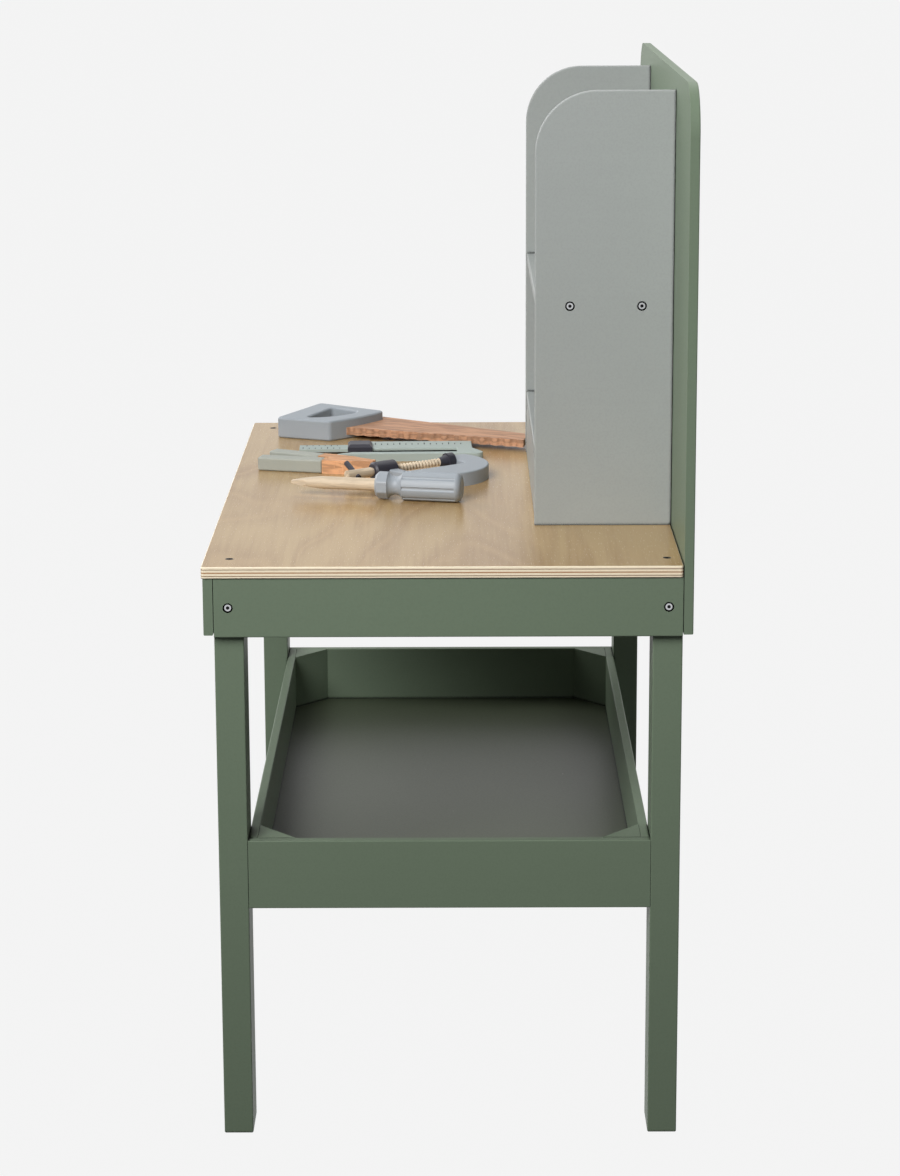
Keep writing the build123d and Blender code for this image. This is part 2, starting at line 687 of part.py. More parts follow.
def pliers_half(shank_length):
    """One half, its grip on the near side: a far jaw, a half-lapped boss and shank, and the grip."""
    thick = PLIERS_THICK
    gap = PLIERS_JAW_GAP / 2
    arm = Pos(0, -PLIERS_OFFSET) * Rot(0, 0, PLIERS_SPREAD / 2)
    nose = (PLIERS_JAW_LENGTH, PLIERS_JAW_TIP)
    cheek = (PLIERS_BOSS_R / 2, PLIERS_JAW_ROOT)
    outline = [
        Polyline(cheek, (0, PLIERS_JAW_ROOT), (0, gap), (PLIERS_JAW_LENGTH, gap), nose),
        ThreePointArc(nose, PLIERS_JAW_WAIST, cheek),
    ]
    jaw = prism(make_face(outline), thick)
    half_width = PLIERS_SHANK_WIDTH / 2
    shank_end = -PLIERS_BOSS_R - shank_length
    shank = arm * span_box((shank_end, 0), (-half_width, half_width), (0, thick))
    clear = PLIERS_BOSS_R + PLIERS_LAP_GAP
    lap = (thick - PLIERS_LAP_GAP) / 2
    piece = jaw + shank - Pos(0, 0, lap) * Cylinder(clear, thick, align=BOTTOM_UP)
    piece += Cylinder(PLIERS_BOSS_R, lap, align=BOTTOM_UP)
    tenon = arm * span_box((shank_end - PLIERS_TENON, shank_end),
                           (-PLIERS_TENON_WIDTH / 2, PLIERS_TENON_WIDTH / 2),
                           ((thick - PLIERS_TENON_THICK) / 2, (thick + PLIERS_TENON_THICK) / 2))
    grip_half = PLIERS_GRIP_WIDTH / 2
    grip_end = -PLIERS_BOSS_R - PLIERS_GRIP_LENGTH
    grip = span_box((grip_end, shank_end), (-grip_half, grip_half), (0, thick))
    grip = arm * fillet(grip.edges(), PLIERS_GRIP_EASE) - tenon
    return piece + tenon, grip


def pliers():
    """Two crossing halves on a pin. The far half is turned over and has a longer shank."""
    near_jaw, near_grip = pliers_half(PLIERS_NEAR_SHANK)
    far_jaw, far_grip = pliers_half(PLIERS_FAR_SHANK)
    pin_r = PLIERS_PIN_D / 2
    flip = Pos(0, 0, PLIERS_THICK) * Rot(180, 0, 0)
    far_jaw = flip * far_jaw - Cylinder(pin_r, PLIERS_THICK, align=BOTTOM_UP)
    far_grip = flip * far_grip
    near_jaw -= Cylinder(pin_r + PLIERS_PIN_CLEARANCE, PLIERS_THICK, align=BOTTOM_UP)
    pin = Cylinder(pin_r, PLIERS_THICK, align=BOTTOM_UP)
    near = {"jaw_near": near_jaw, "grip_near": near_grip}
    return near | {"jaw_far": far_jaw, "grip_far": far_grip, "pin": pin}


# Slide gauge

STRIP_NEAR = GAUGE_ARM_WIDTH + GAUGE_GAP
STRIP_FAR = STRIP_NEAR + GAUGE_STRIP_WIDTH
STRIP_END = GAUGE_STRIP_START + GAUGE_STRIP_LENGTH
RULE_FAR = STRIP_FAR - GAUGE_BACK_WALL - RULE_CLEARANCE
RULE_NEAR = RULE_FAR - RULE_WIDTH
RULE_START = GAUGE_STRIP_START - RULE_OUT
RULE_END = RULE_START + RULE_LENGTH
CHEEK_FAR = STRIP_NEAR - THUMB_CLEARANCE
THUMB_X = (GAUGE_STRIP_START, GAUGE_STRIP_START + THUMB_LENGTH)


def gauge_frame():
    """A wide strip and a pointed plain arm on a bridge, with a slit in the strip's side for the rule."""
    bridge = STRIP_END - GAUGE_BRIDGE
    outline = make_face(Polyline(
        (0, 0), (GAUGE_ARM_LENGTH, 0), (GAUGE_ARM_LENGTH, GAUGE_ARM_WIDTH), (STRIP_END, STRIP_NEAR),
        (STRIP_END, STRIP_FAR), (GAUGE_STRIP_START, STRIP_FAR), (GAUGE_STRIP_START, STRIP_NEAR),
        (bridge, STRIP_NEAR), (bridge, GAUGE_ARM_WIDTH), (GAUGE_ARM_POINT, GAUGE_ARM_WIDTH), close=True))
    corners = outline.vertices().group_by(Axis.X)[-1]
    outline = fillet(corners, GAUGE_CORNER_R)
    frame = prism(outline, GAUGE_THICK)
    frame = fillet(frame.faces().sort_by(Axis.Z)[-1].edges(), GAUGE_EASE)
    slit_z = (RULE_LIFT - RULE_CLEARANCE, RULE_LIFT + RULE_THICK + RULE_CLEARANCE)
    far = RULE_FAR + RULE_CLEARANCE
    channel_end = RULE_END + RULE_TRAVEL + RULE_END_ROOM
    frame -= span_box((GAUGE_STRIP_START, channel_end), (RULE_NEAR - RULE_CLEARANCE, far), slit_z)
    return frame - span_box((GAUGE_STRIP_START, bridge), (STRIP_NEAR, far), slit_z)


def gauge_rule():
    """The thin rule, with a tab that reaches out of the slit to the thumb piece."""
    z = (RULE_LIFT, RULE_LIFT + RULE_THICK)
    rule = span_box((RULE_START, RULE_END), (RULE_NEAR, RULE_FAR), z)
    return rule + span_box(THUMB_X, (CHEEK_FAR, RULE_NEAR), z)


def gauge_thumb():
    """The thumb piece: a plate over the strip and a cheek in front of it that holds the rule's tab."""
    low = RULE_LIFT - RULE_CLEARANCE
    plate_low = GAUGE_THICK + THUMB_CLEARANCE
    y = (CHEEK_FAR - THUMB_CHEEK, CHEEK_FAR + THUMB_REACH)
    block = span_box(THUMB_X, y, (low, plate_low + THUMB_TOP))
    block = chamfer(block.faces().sort_by(Axis.Z)[-1].edges(), THUMB_CHAMFER)
    return block - span_box(THUMB_X, (CHEEK_FAR, y[1]), (low, plate_low))


# Clamp

NUT_LEFT = NUT_STAND - CLAMP_THROAT_LEFT - NUT_LENGTH
SPINDLE_LINE = Pos(0, CLAMP_AXIS, CLAMP_AXIS_LIFT)
HANDLE_END = NUT_LEFT - SPINDLE_SHOULDER_GAP
HANDLE_START = HANDLE_END - SPINDLE_HANDLE_LENGTH
PAD_FACE = CLAMP_ANVIL - PAD_GAP
PAD_BACK = PAD_FACE - PAD_DISC - PAD_CONE


def turned(*points):
    """A piece turned about the spindle's axis, from its outline."""
    return revolve(Plane.XZ * make_face(Polyline(*points, close=True)), Axis.X)


def clamp_frame():
    """The round C of the clamp, with an anvil arm and an arm whose end cradles the nut."""
    tip_x = (CLAMP_R ** 2 - CLAMP_TIP ** 2) ** 0.5
    outline = make_face([
        ThreePointArc((-tip_x, CLAMP_TIP), (0, -CLAMP_R), (tip_x, CLAMP_TIP)),
        Polyline((tip_x, CLAMP_TIP), (CLAMP_ANVIL, CLAMP_TIP), (CLAMP_ANVIL, CLAMP_THROAT_FLOOR),
                 (-CLAMP_THROAT_LEFT, CLAMP_THROAT_FLOOR), (-CLAMP_THROAT_LEFT, CLAMP_TIP),
                 (-tip_x, CLAMP_TIP)),
    ])
    outline = fillet(outline.vertices().group_by(Axis.Y)[0], CLAMP_THROAT_R)
    ends = outline.vertices().group_by(Axis.Y)[-1].sort_by(Axis.X)
    plate = prism(fillet([ends[0], ends[-1]], CLAMP_TIP_R), CLAMP_THICK)
    plate = fillet(plate.faces().sort_by(Axis.Z)[-1].edges(), CLAMP_EASE)
    cradle = rod((HANDLE_END, 0, 0), (1, 0, 0), NUT_LENGTH + SPINDLE_SHOULDER_GAP,
                 NUT_D / 2 + NUT_CLEARANCE)
    return plate - SPINDLE_LINE * cradle


def clamp_nut():
    """The dark sleeve that guides the spindle."""
    sleeve = rod((NUT_LEFT, 0, 0), (1, 0, 0), NUT_LENGTH, NUT_D / 2)
    sleeve = chamfer(sleeve.edges().filter_by(GeomType.CIRCLE), NUT_CHAMFER)
    bore = rod((NUT_LEFT, 0, 0), (1, 0, 0), NUT_LENGTH, SPINDLE_D / 2 + SPINDLE_CLEARANCE)
    return SPINDLE_LINE * (sleeve - bore)


def clamp_spindle():
    """A turned dowel: plain handle end, smooth stretch in the nut, and rings up to the pad."""
    radius = SPINDLE_D / 2
    groove = SPINDLE_GROOVE_D / 2
    handle = SPINDLE_HANDLE_D / 2
    points = [(HANDLE_START, 0), (HANDLE_START, handle), (HANDLE_END, handle), (HANDLE_END, radius)]
    for i in range(SPINDLE_RINGS, 0, -1):
        ring = PAD_BACK - i * SPINDLE_RING_PITCH
        points.append((ring, radius))
        points.append((ring + SPINDLE_RING_PITCH / 2, groove))
    tip = PAD_BACK + PAD_SOCKET
    points += [(PAD_BACK, radius), (PAD_BACK, groove), (tip, groove), (tip, 0)]
    return SPINDLE_LINE * turned(*points) - tommy_bar(TOMMY_CLEARANCE)


def tommy_bar(extra=0.0):
    """The short cross bar through the handle end, slid up and leaning away."""
    way = Vector(0, sin(radians(TOMMY_LEAN)), cos(radians(TOMMY_LEAN)))
    start = Vector(HANDLE_START + TOMMY_INSET, 0, 0) - way * TOMMY_DOWN
    return SPINDLE_LINE * rod(start, way, TOMMY_UP + TOMMY_DOWN, TOMMY_D / 2 + extra)


def clamp_pad():
    """The stepped pad on the end of the spindle."""
    disc = PAD_FACE - PAD_DISC
    radius = PAD_D / 2
    pad = turned((PAD_BACK, 0), (PAD_BACK, SPINDLE_D / 2), (disc, radius - PAD_STEP),
                 (disc, radius), (PAD_FACE, radius), (PAD_FACE, 0))
    return SPINDLE_LINE * (pad - rod((PAD_BACK, 0, 0), (1, 0, 0), PAD_SOCKET, SPINDLE_GROOVE_D / 2))


def main():
    os.makedirs("parts", exist_ok=True)
    write("tabletop", tabletop())
    write("apron_front", front_apron())
    write("back_panel", back_panel())
    rows = {"front": LEG_FRONT_Y, "back": LEG_BACK_Y}
    pairs = [(side, row) for side in SIDES.values() for row in rows.values()]
    for side_name, side in SIDES.items():
        for row_name, row in rows.items():
            write(f"leg_{row_name}_{side_name}", leg(side, row))
        write(f"apron_{side_name}", side_apron(side))
        write(f"tray_end_{side_name}", tray_end(side))
        write(f"shelf_side_{side_name}", shelf_side(side))
    for row_name, row in rows.items():
        write(f"tray_wall_{row_name}", tray_wall(row))
    write("tray_floor", tray_floor())
    write("tray_corner_blocks", *[corner_block(side, row) for side, row in pairs])
    write("shelf_upper", upper_shelf())
    write("shelf_lower", lower_shelf())
    write("shelf_plinth", shelf_plinth())

    both = SIDES.values()
    write("apron_bolts", *[apron_bolt(side, row).solid() for side, row in pairs])
    write("front_apron_bolts", *[front_bolt(side).solid() for side in both])
    write("back_panel_bolts", *[back_bolt(side).solid() for side in both])
    write("tray_bolts", *[tray_bolt(side, row).solid() for side, row in pairs])
    write("shelf_bolts", *[bolt.solid() for side in both for bolt in shelf_bolts(side)])
    inserts = [apron_bolt(side, row).insert(APRON_THICK) for side, row in pairs]
    inserts += [front_bolt(side).insert(APRON_THICK) for side in both]
    inserts += [back_bolt(side).insert(BACK_THICK) for side in both]
    write("leg_inserts", *inserts)
    write("tray_inserts", *[tray_bolt(side, row).insert(LEG_SHORT + TRAY_WALL) for side, row in pairs])
    write("top_screws", *[top_screw(side, row).solid() for side, row in pairs])
    groups = [group for side in both for group in shelf_screws(side)]
    write("shelf_screws", *[screw.solid() for group in groups for screw in group])
    write("shelf_dowels", *[peg for side in both for peg in dowels(side, 0.0)])

    place = on_table(SAW_PLACE, SAW_TURN)
    write("saw_handle", place * saw_handle())
    write("saw_blade", place * saw_blade())
    place = on_table(DRIVER_PLACE, DRIVER_TURN) * Pos(0, 0, GRIP_D / 2)
    write("screwdriver_handle", place * Pos(DRIVER_SHAFT_LENGTH, 0, 0) * driver_handle())
    write("screwdriver_shaft", place * driver_shaft())
    place = on_table(PLIERS_PLACE, PLIERS_TURN)
    for name, shape in pliers().items():
        write(f"pliers_{name}", place * shape)
    place = on_table(GAUGE_PLACE, GAUGE_TURN)
    write("gauge_frame", place * gauge_frame())
    write("gauge_rule", place * gauge_rule())
    write("gauge_thumb", place * gauge_thumb())
    place = on_table(CLAMP_PLACE, CLAMP_TURN)
    write("clamp_frame", place * clamp_frame())
    write("clamp_nut", place * clamp_nut())
    write("clamp_spindle", place * clamp_spindle())
    write("clamp_pad", place * clamp_pad())
    write("clamp_tommy_bar", place * tommy_bar())


main()
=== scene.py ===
import math

import bmesh
import bpy
from bpy.props import FloatProperty, FloatVectorProperty, IntProperty, PointerProperty
from mathutils import Matrix, Vector


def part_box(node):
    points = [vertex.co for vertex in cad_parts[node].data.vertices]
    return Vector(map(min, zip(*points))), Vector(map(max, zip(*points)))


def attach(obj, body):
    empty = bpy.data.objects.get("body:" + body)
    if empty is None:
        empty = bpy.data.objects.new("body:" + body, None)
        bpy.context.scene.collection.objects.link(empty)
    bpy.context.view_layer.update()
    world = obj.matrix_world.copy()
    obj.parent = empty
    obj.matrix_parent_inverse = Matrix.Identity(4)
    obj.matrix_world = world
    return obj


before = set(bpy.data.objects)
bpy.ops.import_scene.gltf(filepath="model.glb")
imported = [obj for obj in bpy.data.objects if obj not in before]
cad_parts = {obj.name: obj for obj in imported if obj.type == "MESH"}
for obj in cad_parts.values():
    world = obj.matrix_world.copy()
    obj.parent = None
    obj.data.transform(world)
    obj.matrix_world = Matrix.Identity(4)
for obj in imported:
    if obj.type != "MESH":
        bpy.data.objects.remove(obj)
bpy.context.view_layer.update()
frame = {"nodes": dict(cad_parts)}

bl_info = {
    "name": "Toy Workbench",
    "version": (1, 0, 0),
    "blender": (4, 5, 0),
    "location": "View3D > Sidebar > Workbench",
    "description": "Finishes, gauge marks and studio for a child's painted workbench with loose wooden tools",
    "category": "Object",
}

NODES = frame["nodes"]

# How far each tool's grain is turned from the bench's length
GAUGE_TURN = math.radians(91.5)
SAW_TURN = math.radians(68.4)
DRIVER_TURN = math.radians(78.6)
PLIERS_TURN = math.radians(70.0)
CLAMP_TURN = math.radians(124.5)

# The gauge's origin on the top, and where each row of its marks starts from there
GAUGE_PLACE = Vector((-0.125, -0.123, 0.0))
STRIP_ROW = (0.0425, 0.0475)
RULE_FRONT_ROW = (-0.038, 0.0435)
RULE_BACK_ROW = (-0.034, 0.0615)

# The photograph's camera, in metres and degrees
CAMERA_PLACE = (2.84025, 0.01060, 1.19356)
CAMERA_TURN = (78.4019, 0.2074, 90.1343)
CAMERA_SENSOR = 36.0
CAMERA_SHIFT = -0.119

# The floor's half width, how bright it shows, and how much of its look is the plain backdrop
FLOOR_REACH = 40.0
FLOOR_GLOW = 1.06
FLOOR_PLAIN = 0.93
WHITE = (1.0, 1.0, 1.0, 1.0)
LINT = (0.62, 0.62, 0.56, 1.0)


def shade(red, green, blue):
    """Screen values from 0 to 255 as the linear colour that shaders take."""
    def linear(value):
        value /= 255
        return value / 12.92 if value <= 0.04045 else ((value + 0.055) / 1.055) ** 2.4
    return linear(red), linear(green), linear(blue)


def toned(colour, gain):
    """The same colour, lighter or darker, with the alpha that sockets want."""
    return tuple(min(1.0, channel * gain) for channel in colour[:3]) + (1.0,)


# Settings


def colour_setting(name, description, default):
    return FloatVectorProperty(name=name, description=description, default=default,
                               subtype="COLOR", size=3, min=0, max=1)


class BenchColours(bpy.types.PropertyGroup):
    frame: colour_setting("Frame", "Paint of the legs, aprons, tray and back panel", shade(112, 127, 107))
    shelf: colour_setting("Shelf", "Paint of the shelf unit", shade(159, 163, 161))
    tray: colour_setting("Tray bottom", "Paint of the thin panel in the tray", shade(72, 79, 62))
    veneer_light: colour_setting("Light veneer", "Early wood of the top", shade(186, 158, 114))
    veneer_dark: colour_setting("Dark veneer", "Late wood of the top", shade(158, 126, 85))
    ply_light: colour_setting("Light ply", "Long-grain plies in the top's edge", shade(252, 238, 210))
    ply_dark: colour_setting("Dark ply", "Cross plies and glue lines in the top's edge", shade(128, 94, 64))
    steel: colour_setting("Steel", "Bolts and sleeves", shade(206, 208, 210))
    screws: colour_setting("Blackened steel", "Heads of the screws", shade(42, 38, 34))


class ToolColours(bpy.types.PropertyGroup):
    blue: colour_setting("Grey-blue", "Paint of the saw handle, the screwdriver handle and the clamp",
                         shade(155, 162, 169))
    green: colour_setting("Pale green", "Paint of the pliers' grips", shade(161, 164, 155))
    gauge: colour_setting("Sea green", "Paint of the gauge", shade(162, 174, 169))
    dark: colour_setting("Dark grey", "Paint of the small turned and sliding pieces", shade(48, 47, 56))
    blade: colour_setting("Blade wood", "Bare wood of the saw blade", shade(184, 140, 110))
    jaw: colour_setting("Jaw wood", "Bare wood of the pliers' jaws", shade(212, 159, 117))
    pale: colour_setting("Pale wood", "Bare wood of the screwdriver's shaft, the spindle and the dowels",
                         shade(207, 189, 164))


def length_setting(name, description, default):
    return FloatProperty(name=name, description=description, default=default, unit="LENGTH")


def lamp_setting(name, description, default):
    return FloatProperty(name=name, description=description + ", in watts", default=default, min=0)


class GaugeMarks(bpy.types.PropertyGroup):
    pitch: length_setting("Pitch", "Distance between two marks", 0.0068)
    width: length_setting("Width", "Width of a mark", 0.0011)
    short: length_setting("Short", "Length of a common mark", 0.0058)
    long: length_setting("Long", "Length of a long mark", 0.0100)
    proud: length_setting("Proud", "How far the ink stands off the paint", 0.00008)
    every: IntProperty(name="Every", description="Which mark is a long one", default=4, min=2)
    ink: colour_setting("Ink", "Colour of the marks", shade(36, 40, 44))


class Studio(bpy.types.PropertyGroup):
    overhead: lamp_setting("Overhead", "Power of the overhead lamp", 10.0)
    end: lamp_setting("End", "Power of the lamp beyond the near end", 18.0)
    front: lamp_setting("Front", "Power of the lamp in front of the bench", 25.0)
    rear: lamp_setting("Rear", "Power of the lamp behind the bench", 18.0)
    sky: FloatProperty(name="Sky", description="Strength of the even light from all round", default=0.06, min=0)
    floor: colour_setting("Floor", "Paint of the floor, which the bounced light takes on", (0.04, 0.04, 0.04))
    backdrop: colour_setting("Backdrop", "What the camera sees behind the bench", shade(245, 245, 245))
    lens: FloatProperty(name="Lens", description="Focal length in millimetres", default=84.535)


SETTINGS = {"bench_colours": BenchColours, "tool_colours": ToolColours,
            "gauge_marks": GaugeMarks, "studio": Studio}


# Shader tools


class Wire:
    """An output socket that can be used in Python arithmetic."""

    def __init__(self, finish, socket):
        self.finish = finish
        self.socket = socket

    def maths(self, operation, first, second):
        return self.finish.node("ShaderNodeMath", {"operation": operation}, {0: first, 1: second})

    def __add__(self, other):
        return self.maths("ADD", self, other)

    def __sub__(self, other):
        return self.maths("SUBTRACT", self, other)

    def __rsub__(self, other):
        return self.maths("SUBTRACT", other, self)

    def __mul__(self, other):
        return self.maths("MULTIPLY", self, other)

    def __truediv__(self, other):
        return self.maths("DIVIDE", self, other)

    def __rtruediv__(self, other):
        return self.maths("DIVIDE", other, self)

    def __lt__(self, other):
        return self.maths("LESS_THAN", self, other)

    def __gt__(self, other):
        return self.maths("GREATER_THAN", self, other)

    __radd__ = __add__
    __rmul__ = __mul__


class Finish:
    """A node tree while its nodes are laid: a material's, or a world's."""

    def __init__(self, owner):
        self.owner = owner
        owner.use_nodes = True
        self.tree = owner.node_tree
        self.tree.nodes.clear()
        self.place = self.node("ShaderNodeTexCoord", out="Object")

    def node(self, kind, settings=None, sockets=None, out=0):
        """Adds a node, its settings first, then its sockets' values or links."""
        made = self.tree.nodes.new(kind)
        for key, value in (settings or {}).items():
            if key == "stops":
                self.set_stops(made.color_ramp, value)
            else:
                setattr(made, key, value)
        for key, value in (sockets or {}).items():
            if isinstance(value, Wire):
                self.tree.links.new(value.socket, made.inputs[key])
            else:
                made.inputs[key].default_value = value
        return Wire(self, made.outputs[out]) if made.outputs else None

    def set_stops(self, ramp, stops):
        while len(ramp.elements) < len(stops):
            ramp.elements.new(0.5)
        for element, (position, colour) in zip(ramp.elements, stops):
            element.position = position
            element.color = colour

    def stretched(self, scale, turn=0.0):
        """Object coordinates turned about the vertical and scaled, so that long grain runs along a tool."""
        flat = self.node("ShaderNodeMapping", {"vector_type": "TEXTURE"},
                         {"Vector": self.place, "Rotation": (0, 0, turn)})
        return self.node("ShaderNodeVectorMath", {"operation": "MULTIPLY"}, {0: flat, 1: scale})

    def noise(self, scale, vector=None, detail=2.0, rough=0.5, twist=0.0):
        return self.node("ShaderNodeTexNoise", None, {
            "Vector": vector or self.place, "Scale": scale, "Detail": detail,
            "Roughness": rough, "Distortion": twist})

    def grain(self, stretch, turn=0.0, **look):
        """Noise with its own scale along each axis, turned with a tool."""
        return self.noise(1.0, self.stretched(stretch, turn), **look)

    def rings(self, drift, count):
        """Growth rings: a rise to 0.5 and back, over and over, as the drift grows."""
        return self.node("ShaderNodeMath", {"operation": "PINGPONG"}, {0: drift * count, 1: 0.5})

    def between(self, value, low, high):
        """0 below low, 1 above high, and smooth between."""
        return self.node("ShaderNodeMapRange", {"interpolation_type": "SMOOTHSTEP"},
                         {"Value": value, "From Min": low, "From Max": high})

    def crevice_shade(self, reach):
        """Painted shade from occlusion: 1 in narrow joints, in recesses and along seats, and 0 in the open."""
        open_air = self.node("ShaderNodeAmbientOcclusion", {"samples": 6}, {"Distance": reach}, out="AO")
        return self.between(open_air, 0.88, 0.5)

    def mix(self, factor, first, second):
        return self.node("ShaderNodeMix", {"data_type": "RGBA"}, {0: factor, 6: first, 7: second}, out=2)

    def axes(self):
        """The three object coordinates as numbers."""
        split = self.node("ShaderNodeSeparateXYZ", None, {0: self.place}).socket.node
        return [Wire(self, socket) for socket in split.outputs]

    def wear_and_highlight_edges(self, radius):
        """1 on the arrises of a piece and 0 on its faces; its lighter arris stands for both wear and a painted
        highlight.
        """
        rounded = self.node("ShaderNodeBevel", {"samples": 4}, {"Radius": radius})
        flat = self.node("ShaderNodeNewGeometry", out="Normal")
        facing = self.node("ShaderNodeVectorMath", {"operation": "DOT_PRODUCT"},
                           {0: rounded, 1: flat}, out="Value")
        return self.between(facing, 0.995, 0.86)

    def bump(self, height, strength, depth):
        return self.node("ShaderNodeBump", None, {"Height": height, "Strength": strength, "Distance": depth})

    def surface(self, **sockets):
        """Ends a material with its one shader."""
        named = {key.replace("_", " ").title().replace("Ior", "IOR"): value for key, value in sockets.items()}
        shader = self.node("ShaderNodeBsdfPrincipled", None, named)
        self.node("ShaderNodeOutputMaterial", None, {"Surface": shader})
        return self.owner


# Finishes


def new_finish(name):
    return Finish(bpy.data.materials.new(name))


def painted_board(name, colour, rough, gloss, dust=0.0):
    """Sprayed paint on board: faint clouds, orange peel, a lighter arris for wear and a painted highlight,
    dust, and painted shade darkening joints, recesses and seats.
    """
    finish = new_finish(name)
    clouds = finish.noise(5.0, detail=4.0)
    peel = finish.noise(480.0, detail=3.0)
    sweep = finish.grain((14.0, 14.0, 160.0), detail=3.0)
    body = finish.mix(clouds, toned(colour, 0.95), toned(colour, 1.05))
    body = finish.mix(finish.between(sweep, 0.35, 0.75) * 0.25, body, toned(colour, 0.95))
    body = finish.mix(finish.between(peel, 0.42, 0.66) * 0.35, body, toned(colour, 0.88))
    # Lighter arrises: partly wear, partly a painted highlight along the rounded edges.
    body = finish.mix(finish.wear_and_highlight_edges(0.0012) * 0.35, body, toned(colour, 1.35))
    if dust:
        specks = finish.node("ShaderNodeTexVoronoi", {"feature": "F1"}, {"Vector": finish.place, "Scale": 60.0})
        lint = finish.between(finish.noise(9.0), 0.56, 0.68) * (specks < 0.030)
        body = finish.mix(lint * dust, body, LINT)
    # Painted shade: near black where occlusion darkens joints, recesses and seats.
    body = finish.mix(finish.crevice_shade(0.004), body, toned(colour, 0.04))
    return finish.surface(base_color=body, roughness=rough - 0.08 + peel * 0.1 + clouds * 0.06,
                          specular_ior_level=gloss,
                          normal=finish.bump(peel * 0.7 + sweep * 0.3, 0.12, 0.0004))


def plywood_top(name, colours, low, high):
    """Varnished rotary-cut veneer on the faces, and a stack of plies on the edges, with a painted shadow line
    along the bottom of the edge.
    """
    finish = new_finish(name)
    height = finish.axes()[2]
    drift = finish.grain((1.1, 6.0, 1.0), detail=2.0, twist=0.5)
    rings = finish.rings(drift, 8.0)
    early = finish.between(rings, 0.13, 0.0)
    broad = finish.grain((2.0, 7.0, 1.0), detail=3.0)
    streaks = finish.grain((9.0, 210.0, 210.0), detail=4.0, rough=0.6)
    pores = finish.grain((90.0, 1500.0, 1500.0), detail=2.0)
    blend = finish.between(rings, 0.0, 0.5) * 0.15 + streaks * 0.35 + broad * 0.5
    pale, deep = toned(colours.veneer_light, 1.0), toned(colours.veneer_dark, 1.0)
    veneer = finish.mix(finish.between(blend, 0.30, 0.67), deep, pale)
    veneer = finish.mix(early * 0.25, veneer, toned(colours.veneer_light, 1.2))
    veneer = finish.mix(finish.between(pores, 0.60, 0.72) * 0.22, veneer, toned(colours.veneer_dark, 0.66))
    light, dark = toned(colours.ply_light, 1.0), toned(colours.ply_dark, 1.0)
    warm = toned(colours.ply_dark, 2.0)
    wander = finish.grain((5.0, 5.0, 5.0), detail=2.0)
    level = (height - low) / (high - low) + (wander - 0.5) * 0.03
    # Near black: the voids in the plies, and at the bottom of the edge stack a painted shadow line under the
    # top.
    line = toned(colours.ply_dark, 0.12)
    stack = finish.node("ShaderNodeValToRGB", {"stops": [
        (0.00, line), (0.03, line), (0.06, light), (0.15, light), (0.18, dark), (0.22, dark), (0.25, light),
        (0.41, light), (0.44, warm), (0.52, warm), (0.55, light), (0.71, light), (0.74, dark), (0.78, dark),
        (0.81, light), (1.00, light)]}, {0: level})
    fibres = finish.grain((300.0, 300.0, 1600.0), detail=3.0)
    stack = finish.mix(finish.between(fibres, 0.45, 0.75) * 0.15, stack, warm)
    voids = finish.grain((22.0, 22.0, 420.0), detail=1.0)
    stack = finish.mix(finish.between(voids, 0.74, 0.77), stack, line)
    normal = finish.node("ShaderNodeNewGeometry", out="Normal")
    tilt = finish.node("ShaderNodeSeparateXYZ", None, {0: normal}, out=2)
    flat = finish.between(finish.node("ShaderNodeMath", {"operation": "ABSOLUTE"}, {0: tilt}), 0.8, 0.95)
    return finish.surface(base_color=finish.mix(flat, stack, veneer),
                          roughness=0.50 - flat * 0.28 + pores * 0.08, specular_ior_level=0.4,
                          normal=finish.bump(streaks * 0.5 + pores * 0.5, 0.10, 0.0003))


def bare_wood(name, colour, turn, contrast=1.0):
    """Sanded bare wood with its grain along the tool."""
    finish = new_finish(name)
    drift = finish.grain((7.0, 60.0, 60.0), turn, detail=3.0, twist=0.4)
    rings = finish.rings(drift, 7.0)
    streaks = finish.grain((30.0, 700.0, 700.0), turn, detail=4.0)
    pores = finish.grain((180.0, 2600.0, 2600.0), turn, detail=2.0)
    blend = finish.between(rings, 0.0, 0.5) * 0.5 + streaks * 0.5
    body = finish.mix(finish.between(blend, 0.25, 0.75),
                      toned(colour, 1 - 0.26 * contrast), toned(colour, 1 + 0.16 * contrast))
    body = finish.mix(finish.between(pores, 0.58, 0.70) * 0.4 * contrast, body, toned(colour, 0.5))
    # Lighter arrises: partly wear, partly a painted highlight.
    body = finish.mix(finish.wear_and_highlight_edges(0.0009) * 0.3, body, toned(colour, 1.3))
    return finish.surface(base_color=body, roughness=0.52 + pores * 0.12, specular_ior_level=0.4,
                          normal=finish.bump(streaks * 0.6 + pores * 0.4, 0.18, 0.0003))


def tool_paint(name, colour, turn, rough):
    """Brushed satin paint on wood, thin enough for the grain to show."""
    finish = new_finish(name)
    clouds = finish.noise(26.0, detail=3.0)
    grain = finish.grain((25.0, 520.0, 520.0), turn, detail=4.0)
    peel = finish.noise(1500.0, detail=2.0)
    body = finish.mix(clouds, toned(colour, 0.95), toned(colour, 1.05))
    body = finish.mix(finish.between(grain, 0.52, 0.72) * 0.18, body, toned(colour, 0.84))
    # Lighter arrises: partly wear, partly a painted highlight.
    body = finish.mix(finish.wear_and_highlight_edges(0.0014) * 0.4, body, toned(colour, 1.3))
    return finish.surface(base_color=body, roughness=rough + clouds * 0.08 + peel * 0.06,
                          specular_ior_level=0.4,
                          normal=finish.bump(grain * 0.6 + peel * 0.4, 0.16, 0.0003))


